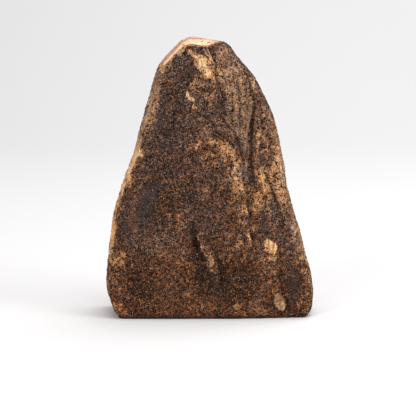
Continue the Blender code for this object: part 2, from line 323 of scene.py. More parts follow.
# Tan strips along the rims, where the skin turns to the side
RIM_STRIPS = (
    Patch(-1, -45, 237, 5.0, 3.0, 46, 0.74),
    Patch(-1, -51, 229, 1.6, 7.7, 22, 0.66),
    Patch(-1, -55, 210, 1.1, 9.6, 18, 0.74),
    Patch(-1, -60, 194, 1.1, 9.6, 16, 0.74),
    Patch(-1, -65, 178, 1.0, 8.6, 16, 0.60),
    Patch(-1, -65, 168, 1.4, 5.4, 12, 0.64),
    Patch(-1, -70, 156, 3.4, 9.6, 22, 1.00),
    Patch(-1, -76, 141, 3.3, 9.0, 22, 1.04),
    Patch(-1, -82, 126, 2.0, 8.7, 24, 0.95),
    Patch(-1, -88, 110, 1.2, 8.7, 20, 0.66),
    Patch(-1, -89, 94, 2.2, 9.6, 8, 0.72),
    Patch(-1, -92, 72, 2.0, 9.6, 4, 0.72),
    Patch(-1, -91, 58, 3.4, 5.7, 0, 0.54),
    Patch(-1, -98, 25, 1.2, 9.6, -12, 0.48),
    Patch(-1, -90, 10, 1.2, 8.6, -16, 0.50),
    Patch(-1, 64, 152, 3.2, 12.5, -6, 0.56),
    Patch(-1, 63, 130, 2.8, 8.6, -12, 0.52),
    Patch(-1, 64, 119, 2.1, 2.9, 0, 0.48),
    Patch(-1, 80, 82, 2.8, 4.8, -20, 0.50),
    Patch(-1, 89, 58, 1.9, 11.5, -10, 0.48),
)

# Broad areas where more of the brown skin shows between the pepper
THIN_AREAS = (
    Patch(-1, -35, 243, 9.0, 7.0, 34, 0.22),
    Patch(-1, -24, 251, 9.0, 7.0, 0, 0.34),
    Patch(-1, -44, 202, 9.0, 22.0, 14, 0.30),
    Patch(-1, -14, 223, 8.0, 8.0, 0, 0.40),
    Patch(-1, 6, 228, 8.0, 12.0, 0, 0.46),
    Patch(-1, 33, 174, 6.0, 24.0, -4, 0.58),
    Patch(-1, 7, 215, 8.0, 8.0, 0, 0.34),
    Patch(-1, 24, 182, 8.0, 8.0, 0, 0.44),
    Patch(-1, 13, 132, 8.0, 9.0, 0, 0.34),
    Patch(-1, 6, 247, 8.0, 10.0, -20, 0.56),
    Patch(-1, 39, 221, 5.0, 10.0, -20, 0.54),
    Patch(-1, 95, 35, 5.0, 24.0, 0, 0.40),
    Patch(-1, 43, 172, 2.4, 22.0, 0, 0.40),
    Patch(-1, 45, 111, 6.4, 12.0, -10, 0.50),
    Patch(-1, 57, 109, 4.6, 12.0, -10, 0.46),
    Patch(-1, 13, 163, 9.0, 10.0, -30, 0.46),
    Patch(-1, 1, 172, 14.0, 6.0, 0, 0.36),
    Patch(-1, 55, 158, 4.0, 8.0, 0, 0.50),
    Patch(-1, -35, 100, 8.0, 9.0, 0, 0.40),
    Patch(-1, 89, 38, 5.0, 20.0, 0, 0.56),
    Patch(-1, 19, 187, 9.0, 12.0, -14, 0.46),
    Patch(-1, 66, 107, 5.0, 12.0, -16, 0.30),
    Patch(-1, 90, 62, 5.0, 22.0, -10, 0.30),
    Patch(-1, 26, 216, 13.5, 31.0, -10, 0.62),
    Patch(-1, 11, 248, 10.0, 10.0, 0, 0.54),
    Patch(-1, -2, 182, 13.0, 7.0, 0, 0.26),
    Patch(-1, 29, 70, 7.0, 12.0, 0, 0.24),
    Patch(-1, -5, 217, 15.0, 17.3, -20, 0.30),
    Patch(-1, 0, 164, 17.0, 14.0, -10, 0.18),
    Patch(-1, 24, 151, 7.5, 21.1, -16, 0.52),
    Patch(-1, 26, 125, 9.0, 25.0, -14, 0.56),
    Patch(-1, 31, 97, 11.3, 16.0, -10, 0.34),
    Patch(-1, 50, 138, 8.0, 20.0, -6, 0.50),
    Patch(-1, 54, 181, 7.5, 25.0, -12, 0.44),
    Patch(-1, 43, 197, 6.0, 9.0, 0, 0.40),
    Patch(-1, 64, 136, 7.6, 34.8, -10, 0.58),
    Patch(-1, 84, 72, 6.0, 26.9, -14, 0.46),
    Patch(-1, 71, 62, 8.0, 8.0, 0, 0.34),
    Patch(-1, 54, 52, 13.2, 14.0, 0, 0.24),
    Patch(-1, 34, 13, 16.9, 8.6, 0, 0.24),
    Patch(-1, -2, 63, 5.6, 17.3, -20, 0.36),
    Patch(-1, -53, 204, 4.0, 32.0, 18, 0.54),
    Patch(-1, -71, 153, 4.7, 24.0, 18, 0.66),
    Patch(-1, -89, 81, 5.0, 32.6, 6, 0.16),
    Patch(-1, -83, 56, 9.4, 11.5, 0, 0.28),
    Patch(-1, -79, 21, 8.5, 15.4, 0, 0.26),
    Patch(-1, -28, 99, 11.3, 13.4, 0, 0.14),
    Patch(1, 20, 156, 24, 50, -8, 0.42),
    Patch(1, -50, 110, 24, 40, 10, 0.34),
    Patch(1, 50, 80, 24, 36, -10, 0.36),
    Patch(1, -20, 215, 20, 26, 0, 0.34),
    Patch(1, -30, 40, 30, 20, 0, 0.26),
)

# Smooth patches with less pepper, their bluish grey partly the crust's own and partly a painted sheen
ASH_AND_SHEEN_AREAS = (
    Patch(-1, -59, 117, 7.6, 25.0, 16, 1.00),
    Patch(-1, -75, 95, 8.5, 23.0, 8, 0.45),
    Patch(-1, -83, 83, 3.8, 11.5, 6, 0.70),
    Patch(-1, -45, 192, 4.4, 20.0, 15, 0.52),
    Patch(-1, -48, 222, 5.6, 9.6, 10, 0.30),
    Patch(-1, 16, 244, 4.7, 6.7, 0, 0.36),
    Patch(-1, 30, 174, 5.6, 25.0, -2, 0.30),
    Patch(-1, 49, 153, 4.0, 7.0, -20, 0.78),
    Patch(-1, 51, 93, 5.6, 12.0, -4, 0.66),
    Patch(-1, 4, 36, 3.2, 11.5, -6, 0.60),
    Patch(-1, -13, 99, 11.3, 21.1, 0, 0.25),
    Patch(-1, 80, 36, 8.0, 22.0, -6, 0.50),
    Patch(1, -60, 170, 12, 30, 12, 0.75),
    Patch(1, 6, 198, 12, 22, 0, 0.55),
    Patch(1, 62, 130, 9, 26, -12, 0.70),
    Patch(1, -30, 50, 18, 22, 0, 0.50),
    Patch(1, 30, 80, 10, 20, -8, 0.50),
)

# Places where the pepper is thickest and darkest
DARK_AREAS = (
    Patch(-1, -26, 237, 4.6, 5.6, 0, 0.28),
    Patch(-1, -22, 120, 9.0, 15.0, 0, 0.28),
    Patch(-1, -8, 88, 5.0, 12.0, 0, 0.26),
    Patch(-1, -82, 91, 7.0, 13.4, 6, 0.30),
    Patch(-1, -56, 131, 10.0, 6.0, 0, 0.40),
    Patch(-1, 21, 117, 10.0, 8.0, 0, 0.24),
    Patch(-1, 4, 92, 6.0, 7.0, 0, 0.24),
    Patch(-1, 2, 116, 5.0, 5.0, 0, 0.24),
    Patch(-1, -10, 254, 2.8, 2.8, 0, 0.56),
    Patch(-1, -17, 244, 2.0, 3.4, -20, 0.60),
    Patch(-1, -18, 231, 3.8, 5.8, 0, 0.50),
    Patch(-1, -34, 207, 10.3, 24.0, 14, 0.26),
    Patch(-1, -46, 145, 16.0, 15.0, 14, 0.24),
    Patch(-1, -37, 178, 9.0, 13.0, 8, 0.36),
    Patch(-1, -26, 156, 6.0, 8.0, 0, 0.22),
    Patch(-1, 11, 124, 8.0, 9.0, -10, 0.20),
    Patch(-1, -48, 106, 18.7, 15.5, 0, 0.42),
    Patch(-1, -7, 217, 4.7, 3.8, 0, 0.45),
    Patch(-1, 14, 202, 3.8, 7.7, -10, 0.20),
    Patch(-1, 0, 256, 2.0, 4.7, -14, 0.40),
    Patch(-1, 20, 38, 24.6, 22.0, 0, 0.60),
    Patch(-1, 28, 36, 8.0, 8.0, 0, 1.00),
    Patch(-1, 20, 26, 6.0, 5.0, 0, 0.90),
    Patch(-1, 81, 26, 13.2, 17.3, -6, 0.38),
    Patch(-1, -66, 31, 11.3, 28.8, 0, 0.60),
    # this patch is also painted shadow in the dark valley left of the low ridge
    Patch(-1, -11, 56, 6.6, 32.6, -8, 0.70),
    Patch(1, -20, 140, 18, 30, 8, 0.35),
    Patch(1, 60, 30, 24, 24, 0, 0.50),
    Patch(1, -60, 26, 20, 20, 0, 0.40),
    Patch(1, 24, 226, 8, 16, -14, 0.45),
)

# Places where the crust is warmer, and where it is cooler, than elsewhere; the strength is a change of hue
WARM_AREAS = (
    Patch(-1, 7, 161, 16, 14, -20, 0.09),
    Patch(-1, 20, 121, 8, 12, -10, 0.10),
    Patch(-1, 46, 121, 9, 10, 0, 0.12),
    Patch(-1, 20, 94, 8, 9, 0, 0.12),
    Patch(-1, 24, 54, 13, 10, 0, 0.12),
    Patch(-1, 0, 232, 12, 14, 0, 0.08),
    Patch(-1, 34, 28, 9, 9, 0, 0.08),
    Patch(-1, 62, 28, 12, 12, 0, 0.06),
    Patch(-1, 53, 148, 12, 22, -6, 0.05),
)
COOL_AREAS = (
    Patch(-1, -58, 80, 24, 16, 0, 0.13),
    Patch(-1, -39, 174, 14, 32, 14, 0.06),
    Patch(-1, 75, 80, 9, 20, -12, 0.12),
    Patch(-1, 60, 116, 8, 12, -10, 0.10),
    Patch(-1, -9, 92, 16, 13, 0, 0.06),
    Patch(-1, 20, 187, 9, 9, 0, 0.08),
    Patch(-1, 47, 12, 9, 8, 0, 0.08),
)

# Places where the skin lies in fine, close wrinkles that run upwards
WRINKLED_AREAS = (
    Patch(-1, 28, 212, 15, 38, -12, 0.4),
    Patch(-1, 52, 165, 12, 40, -10, 0.8),
    Patch(-1, 76, 50, 16, 36, -8, 0.8),
    Patch(-1, 0, 45, 14, 36, -8, 0.7),
    Patch(-1, -24, 236, 14, 14, 24, 0.4),
    Patch(1, 24, 190, 18, 44, -8, 0.9),
    Patch(1, -48, 110, 18, 50, 10, 0.8),
    Patch(1, 52, 60, 20, 40, -10, 0.7),
)

MM = 0.001                  # one millimetre

# How the patches' ragged edges wander: size and reach of each wave
WANDER = ((0.0075, 0.0040), (0.0028, 0.0018))

# Mottling of the crust: size and share of each wave
WEAR = ((0.0085, 0.50), (0.0042, 0.45), (0.0022, 0.30))

# Lumps all over the skin: how high, how large, where their pattern starts, how they are drawn out
LUMPS = (
    (0.00030, 0.0022, 7.7, (1, 1, 1)),
    (0.00045, 0.0045, 11.3, (1, 1, 1.8)),
    (0.00030, 0.0120, 1.7, (1, 1, 1)),
)

# Fine pleats: how wide, how drawn out upwards, how far they lean, how high, and how much higher in wrinkles
PLEAT_WIDTH = 0.0048
PLEAT_LENGTH = 8.0
PLEAT_LEAN = 0.22
PLEAT_RISE = 0.0004
WRINKLE_RISE = 0.0016


def working_copy(node, name):
    """A welded copy of one of the part's own solids."""
    piece = bpy.data.objects.new(name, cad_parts[node].data.copy())
    scene.collection.objects.link(piece)
    only(piece)
    bpy.ops.object.mode_set(mode="EDIT")
    bpy.ops.mesh.select_all(action="SELECT")
    bpy.ops.mesh.remove_doubles(threshold=SAME_PLACE)
    bpy.ops.object.mode_set(mode="OBJECT")
    return piece


def places_of(mesh):
    found = np.empty(len(mesh.vertices) * 3, np.float32)
    mesh.vertices.foreach_get("co", found)
    return found.reshape(-1, 3).astype(float)


def normals_of(mesh):
    found = np.empty(len(mesh.vertices) * 3, np.float32)
    mesh.vertex_normals.foreach_get("vector", found)
    return found.reshape(-1, 3).astype(float)


def noise_at(places, size, seed, stretch=(1.0, 1.0, 1.0)):
    """Smooth noise from about -1 to 1 at each place, its lumps this large."""
    spread = places / (np.array(stretch) * size) + seed
    return np.array([noise.noise(p) for p in spread.tolist()])


def smooth_step(low, high, values):
    share = np.clip((values - low) / (high - low), 0.0, 1.0)
    return share * share * (3 - 2 * share)


def smooth_route(points):
    """Points of the smooth curve through a crease's points."""
    knots = [Vector(point) for point in points]
    ends = [knots[0], *knots, knots[-1]]
    route = [knots[0]]
    for before, start, end, after in zip(ends, ends[1:], ends[2:], ends[3:]):
        leave = start + (end - before) / 6
        reach = end - (after - start) / 6
        route.extend(interpolate_bezier(start, leave, reach, end, ROUTE_STEPS + 1)[1:])
    return np.array(route)


def along_route(line, drawn, facing):
    """How far each point of the skin is from a line's route, in millimetres, and how much the line counts."""
    route = smooth_route(line.route)
    spots = drawn[:, (0, 2)] / MM
    off = np.full(len(spots), np.inf)
    along = np.zeros(len(spots))
    for i, (start, end) in enumerate(zip(route, route[1:])):
        run = end - start
        share = np.clip((spots - start) @ run / (run @ run), 0.0, 1.0)
        reach = np.linalg.norm(spots - start - share[:, None] * run, axis=1)
        nearer = reach < off
        off[nearer] = reach[nearer]
        along[nearer] = (i + share[nearer]) / (len(route) - 1)
    strength = np.minimum(1.0, 0.2 + 4 * along) * np.minimum(1.0, 4 * (1 - along))
    return off, strength * np.clip(facing * line.side * 1.6, 0.0, 1.0)


def fold_relief(drawn, facing):
    """How far the folds move the skin outwards, how much each point is in a crease, which sets the painted
    shade there, and how strong the painted highlight on each crest is.
    """
    height = np.zeros(len(drawn))
    crevice = np.zeros(len(drawn))
    crest_highlight = np.zeros(len(drawn))
    for crease in CREASES:
        off, strength = along_route(crease, drawn, facing)
        valley = strength * np.exp(-((off / crease.width) ** 2))
        lips = strength * np.exp(-((off / crease.width - 2.3) ** 2))
        height += (crease.lip * lips - crease.depth * valley) * MM
        crevice = np.maximum(crevice, valley * min(1.0, crease.depth / 2.6))
    for ridge in RIDGES:
        off, strength = along_route(ridge, drawn, facing)
        raised = strength * np.exp(-((off / ridge.width) ** 2))
        height += ridge.rise * MM * raised
        crest_highlight = np.maximum(crest_highlight, raised * ridge.grey)
    return height, crevice, crest_highlight


def wandered(drawn, share):
    """Places across and up, moved to and fro so that what is drawn there gets ragged, natural edges."""
    spots = drawn[:, (0, 2)].copy()
    for k, (size, reach) in enumerate(WANDER):
        for axis in (0, 1):
            spots[:, axis] += share * reach * noise_at(drawn, size, 5.3 + 9.1 * k + 17.7 * axis)
    return spots


def patch_strength(patches, spots, facing, soft):
    """The strongest of the patches at each spot, their edges more or less soft."""
    strength = np.zeros(len(spots))
    for patch in patches:
        across, up = (spots / MM - (patch.x, patch.z)).T
        lean = math.radians(patch.lean)
        u = (across * math.cos(lean) - up * math.sin(lean)) / patch.half_width
        v = (across * math.sin(lean) + up * math.cos(lean)) / patch.half_height
        inside = smooth_step(1.0 + 0.45 * soft, 1.0 - 0.45 * soft, np.hypot(u, v))
        inside *= np.clip(facing * patch.side * 3 + 1.0, 0.0, 1.0)
        strength = np.maximum(strength, patch.strength * inside)
    return strength


def knob_relief(spots, facing):
    """How far the knobs move the skin outwards, how much each point is on one, and in the furrow round it."""
    on_knob = patch_strength(KNOBS, spots, facing, 0.35)
    rings = [
        knob._replace(half_width=knob.half_width + KNOB_RING, half_height=knob.half_height + KNOB_RING)
        for knob in KNOBS
    ]
    furrow = patch_strength(rings, spots, facing, 0.6) * (1 - on_knob)
    return KNOB_RISE * on_knob - KNOB_FURROW * furrow, on_knob, furrow


def warmth_at(places, facing):
    """How far the crust's hue is changed at each place, warmer above 0 and cooler below."""
    spots = wandered(places - CENTRED, 1.0)
    warmer, cooler = (patch_strength(areas, spots, facing, 1.5) for areas in (WARM_AREAS, COOL_AREAS))
    return warmer - cooler


def give(mesh, name, values):
    """Stores one number for each point, for the materials to read."""
    layer = mesh.attributes.new(name, "FLOAT", "POINT")
    layer.data.foreach_set("value", values.astype(np.float32))


def cut_planes():
    """Each knife cut as a point of it and its way out, one long."""
    for point, facing in TRIMS:
        yield CENTRED + np.array(point), np.array(facing) / np.linalg.norm(facing)


def cut_share(places, normals):
    """1 on the knife cuts, 0 on the skin, which still covers the right end of the tip."""
    on_cut = np.zeros(len(places))
    across, back, up = (places - CENTRED).T
    ragged = 0.003 * noise_at(places, 0.006, 2.6)
    crusted = (across + ragged > CRUSTED_END + CRUSTED_SLANT * back) | (up + ragged < CUT_FOOT)
    for point, way in cut_planes():
        off = np.abs((places - point) @ way)
        on_cut[(off < ON_CUT) & (normals @ way > 0.8) & ~crusted] = 1.0
    return on_cut


def near_cut(places):
    """True within CUT_GUARD of the trimmed tip's cut faces."""
    above = np.max([(places - point) @ way for point, way in cut_planes()], axis=0)
    return above > -CUT_GUARD


def away_from(places, ends, starts):
    """How far each start point is from the nearest of the end points; 0 for all other points."""
    tree = kdtree.KDTree(int(ends.sum()))
    for k in np.flatnonzero(ends):
        tree.insert(places[k], int(k))
    tree.balance()
    off = np.zeros(len(places))
    for k in np.flatnonzero(starts):
        off[k] = tree.find(places[k])[2]
    return off


def even_jowl():
    """The jowl's solid as an even, closed mesh, its facets smoothed away but not at the cuts and the foot."""
    jowl = working_copy("guanciale", "cured_jowl")
    remesh = jowl.modifiers.new("even_skin", "REMESH")
    remesh.mode = "VOXEL"
    remesh.voxel_size = VOXEL
    bpy.ops.object.modifier_apply(modifier=remesh.name)

    places = places_of(jowl.data)
    soft = jowl.vertex_groups.new(name="soft_skin")
    free = ~near_cut(places) & (places[:, 2] > FOOT_GUARD)
    soft.add(np.flatnonzero(free).tolist(), 1.0, "REPLACE")
    smooth = jowl.modifiers.new("smooth_skin", "SMOOTH")
    smooth.factor = 0.5
    smooth.iterations = SMOOTHING
    smooth.vertex_group = soft.name
    bpy.ops.object.modifier_apply(modifier=smooth.name)
    return jowl


def side_rims(drawn, normals):
    """How much each point is on the left and on the right rim, where the skin turns to the side."""
    across = normals[:, 0]
    up = drawn[:, 2]
    left = smooth_step(0.80, 0.97, -across + 0.12 * noise_at(drawn, 0.020, 8.8))
    left *= 0.35 + 0.65 * smooth_step(0.035, 0.080, up)
    left *= 1.0 - 0.45 * smooth_step(0.155, 0.180, up)
    right = smooth_step(0.88, 0.99, across + 0.05 * noise_at(drawn, 0.020, 4.1))
    right *= 0.30 + 0.70 * smooth_step(0.035, 0.080, up)
    return left, right


def trimmed_edge(places, cut):
    """1 on the skin right beside the cuts, less a little further off, 0 beyond that."""
    beside_cut = near_cut(places) & (cut < 0.5)
    return smooth_step(0.0024, 0.0008, away_from(places, cut > 0.5, beside_cut)) * beside_cut


def crust_wear(places, normals, cut, left_rim, right_rim):
    """How bare, how worn, how ashen and how dark the crust is at each point."""
    drawn = places - CENTRED
    facing = normals[:, 1]
    spots = wandered(drawn, 1.0)
    thin = patch_strength(THIN_AREAS, spots, facing, 1.2)
    ash_and_sheen = patch_strength(ASH_AND_SHEEN_AREAS, spots, facing, 1.2)
    dark = patch_strength(DARK_AREAS, spots, facing, 1.2)
    mottle = sum(share * noise_at(places, size, 31.9 + 3.7 * k) for k, (size, share) in enumerate(WEAR))
    mottle *= 1.0 - 0.40 * smooth_step(0.13, 0.17, places[:, 2])

    strip = left_rim * smooth_step(0.90, 0.99, -normals[:, 0]) * (0.46 + 0.7 * mottle)
    bare = np.max([
        patch_strength(BARE_SKIN + RIM_STRIPS, spots, facing, 1.1),
        patch_strength(SCARS, wandered(drawn, 0.35), facing, 0.5),
        TRIMMED_EDGE * trimmed_edge(places, cut),
        left_rim * 0.30 + strip,
    ], axis=0)
    worn = 0.8 * mottle - 0.06 + 0.85 * thin - 0.30 * dark + 0.60 * bare - 0.25 * ash_and_sheen
    worn += 0.30 * left_rim + 0.28 * right_rim
    return bare, worn, ash_and_sheen, dark


def lump_relief(places, facing):
    """How far lumps and pleats move the skin outwards."""
    drawn = places - CENTRED
    height = sum(rise * noise_at(places, size, seed, stretch) for rise, size, seed, stretch in LUMPS)
    wrinkled = patch_strength(WRINKLED_AREAS, wandered(drawn, 1.0), facing, 1.6)
    leaning = drawn + np.outer(drawn[:, 2], (PLEAT_LEAN, 0.0, 0.0))
    pleats = 0.3 - np.abs(noise_at(leaning, PLEAT_WIDTH, 5.2, (1, 1, PLEAT_LENGTH)))
    return height + pleats * (PLEAT_RISE + WRINKLE_RISE * wrinkled)


def shape_jowl():
    """The jowl's skin and cuts as one closed mesh, and how the crust is at each of its points."""
    jowl = even_jowl()
    mesh = jowl.data
    places = places_of(mesh)
    normals = normals_of(mesh)
    drawn = places - CENTRED
    facing = normals[:, 1]
    cut = cut_share(places, normals)
    left_rim, right_rim = side_rims(drawn, normals)
    bare, worn, ash_and_sheen, dark = crust_wear(places, normals, cut, left_rim, right_rim)
    folds, crevice, crest_highlight = fold_relief(drawn, facing)
    knobs, knob, furrow = knob_relief(wandered(drawn, 0.15), facing)
    # the furrow round a knob gets the painted crease shade too
    crevice = np.maximum(crevice, furrow)

    for name, values in (
        ("bare", bare),
        ("worn", worn),
        ("ash_and_sheen", ash_and_sheen),
        ("dark", dark),
        ("crevice", crevice),
        ("crest_highlight", crest_highlight),
        ("knob", knob),
        ("rim", away_from(places, cut < 0.5, cut > 0.5) / MM),
        ("warmth", warmth_at(places, facing)),
    ):
        give(mesh, name, values)

    height = folds + knobs - SCAR_DEPTH * np.clip(bare, 0, 1) + lump_relief(places, facing)
    held = smooth_step(0.0004, 0.0030, places[:, 2])
    places += normals * (height * (1 - cut) * held)[:, None]
    mesh.vertices.foreach_set("co", places.astype(np.float32).ravel())
    mesh.update()
    mesh.shade_smooth()

    peppered = (1 - cut) * (1 - 0.8 * left_rim) * (1 - 0.5 * right_rim) * (1 - ON_ASH * ash_and_sheen) * (1 + dark)
    peppered *= (1 - 0.97 * knob) * (1 + 0.9 * crevice) * (1 - 0.6 * crest_highlight)
    field = {
        "cut": cut,
        "peppered": peppered,
        "bare": smooth_step(0.45, 0.95, bare),
        "worn": smooth_step(0.05, 0.45, worn),
    }
    return jowl, field


# ---------------------------------------- finishes

def srgb(red, green, blue):
    """A colour of the usual 0 to 255 scale, as the shaders take it."""
    shares = [value / 255 for value in (red, green, blue)]
    return (*(s / 12.92 if s <= 0.04045 else ((s + 0.055) / 1.055) ** 2.4 for s in shares), 1.0)


def node(tree, kind, inputs=None, **settings):
    """Adds a node. An input is a number, a colour or another node's output."""
    made = tree.nodes.new(kind)
    for name, value in settings.items():
        setattr(made, name, value)
    for name, value in (inputs or {}).items():
        if isinstance(value, bpy.types.NodeSocket):
            tree.links.new(value, made.inputs[name])
        else:
            made.inputs[name].default_value = value
    return made


def grain_noise(tree, place, scale, detail, roughness):
    made = node(tree, "ShaderNodeTexNoise", {
        "Vector": place,
        "Scale": scale,
        "Detail": detail,
        "Roughness": roughness,
    })
    return made.outputs["Fac"]


def between(tree, value, low, high, start=0.0, end=1.0):
    """Takes a value from low..high to start..end, smoothly and no further."""
    made = node(tree, "ShaderNodeMapRange", {
        "Value": value,
        "From Min": low,
        "From Max": high,
        "To Min": start,
        "To Max": end,
    }, interpolation_type="SMOOTHSTEP")
    return made.outputs["Result"]


def maths(tree, operation, a, b, clamp=False):
    made = node(tree, "ShaderNodeMath", {0: a, 1: b}, operation=operation, use_clamp=clamp)
    return made.outputs["Value"]


def blend(tree, share, under, over):
    """Lays one colour over another by a share."""
    made = node(tree, "ShaderNodeMix", data_type="RGBA")
    for index, value in ((0, share), (6, under), (7, over)):
        if isinstance(value, bpy.types.NodeSocket):
            tree.links.new(value, made.inputs[index])
        else:
            made.inputs[index].default_value = value
    return made.outputs[2]


def mixed(tree, *shares):
    """Adds up values, each times its share."""
    total = None
    for value, share in shares:
        made = node(tree, "ShaderNodeMath", {0: value, 1: share}, operation="MULTIPLY_ADD")
        made.inputs[2].default_value = 0.0
        if total is not None:
            tree.links.new(total, made.inputs[2])
        total = made.outputs["Value"]
    return total


def tones(tree, value, *stops):
    """A run of colours, each stop a place from 0 to 1 and a colour."""
    made = node(tree, "ShaderNodeValToRGB", {"Fac": value})
    run = made.color_ramp.elements
    while len(run) < len(stops):
        run.new(0.5)
    for element, (place, colour) in zip(run, stops):
        element.position = place
        element.color = colour
    return made.outputs["Color"]


def attribute(tree, name):
    return node(tree, "ShaderNodeAttribute", attribute_name=name).outputs["Fac"]


def new_material(name):
    material = bpy.data.materials.new(name)
    material.use_nodes = True
    tree = material.node_tree
    return material, tree, tree.nodes["Principled BSDF"]


def relief(tree, shader, height, depth, strength):
    bump = node(tree, "ShaderNodeBump", {"Height": height, "Distance": depth, "Strength": strength})
    tree.links.new(bump.outputs["Normal"], shader.inputs["Normal"])


# dark of the pepper dust, and of the painted shadow at the foot
PEPPER_DUST_AND_FOOT_SHADE = srgb(38, 26, 18)
CRUST_DARK = srgb(104, 76, 60)
CRUST_BROWN = srgb(156, 113, 92)
WORN_BROWN = srgb(194, 139, 97)
WORN_TAN = srgb(252, 200, 146)
RUST = srgb(147, 87, 49)
SLATE = srgb(96, 88, 86)
# colour of the painted highlight on the crests
CREST_HIGHLIGHT = srgb(160, 142, 128)
SCAR_RUST = srgb(168, 112, 64)
SCAR_TAN = srgb(206, 148, 88)
SCAR_CREAM = srgb(248, 212, 162)
# bluish grey of the smooth ashen patches, partly a painted sheen
ASH_AND_SHEEN_GREY = srgb(64, 55, 53)
# colour of the painted shade in the creases
CREASE_SHADE = srgb(48, 33, 25)
KNOB_OLIVE = srgb(112, 80, 50)
KNOB_PALE = srgb(226, 180, 134)
WARM = (1.20, 0.94, 0.68, 1.0)
COOL = (0.84, 1.0, 1.28, 1.0)
EVEN = (1.0, 1.0, 1.0, 1.0)
TINT = 0.9                  # how much the hue varies in the crust and the pepper
SCAR_TINT = 0.35            # how much it varies in the bare fat
ELSEWHERE = (0.37, 0.11, 0.73)    # moves a second pattern, so that it differs from the first


def tinted(tree, place, colour, share):
    """Makes a colour warmer in some places and cooler in others, and warmer low down; warmer to the left as
    painted warm light from that side.
    """
    apart = node(tree, "ShaderNodeSeparateXYZ", {"Vector": place}).outputs
    low = between(tree, apart["Z"], 0.0, 0.25, 0.09, -0.075)
    # painted warm light from the left: warmer to the left, cooler to the right
    left = between(tree, apart["X"], -0.09, 0.09, 0.025, -0.015)
    broad = grain_noise(tree, place, 140, 4, 0.78)
    fine = grain_noise(tree, place, 950, 1, 0.5)
    hue = mixed(tree, (broad, 1.0), (fine, 0.35), (low, 1.0), (left, 1.0), (attribute(tree, "warmth"), 1.0))
    tint = tones(tree, hue, (0.535, COOL), (0.675, EVEN), (0.815, WARM))
    made = node(tree, "ShaderNodeMix", data_type="RGBA", blend_type="MULTIPLY")
    made.inputs[0].default_value = share
    tree.links.new(colour, made.inputs[6])
    tree.links.new(tint, made.inputs[7])
    return made.outputs[2]


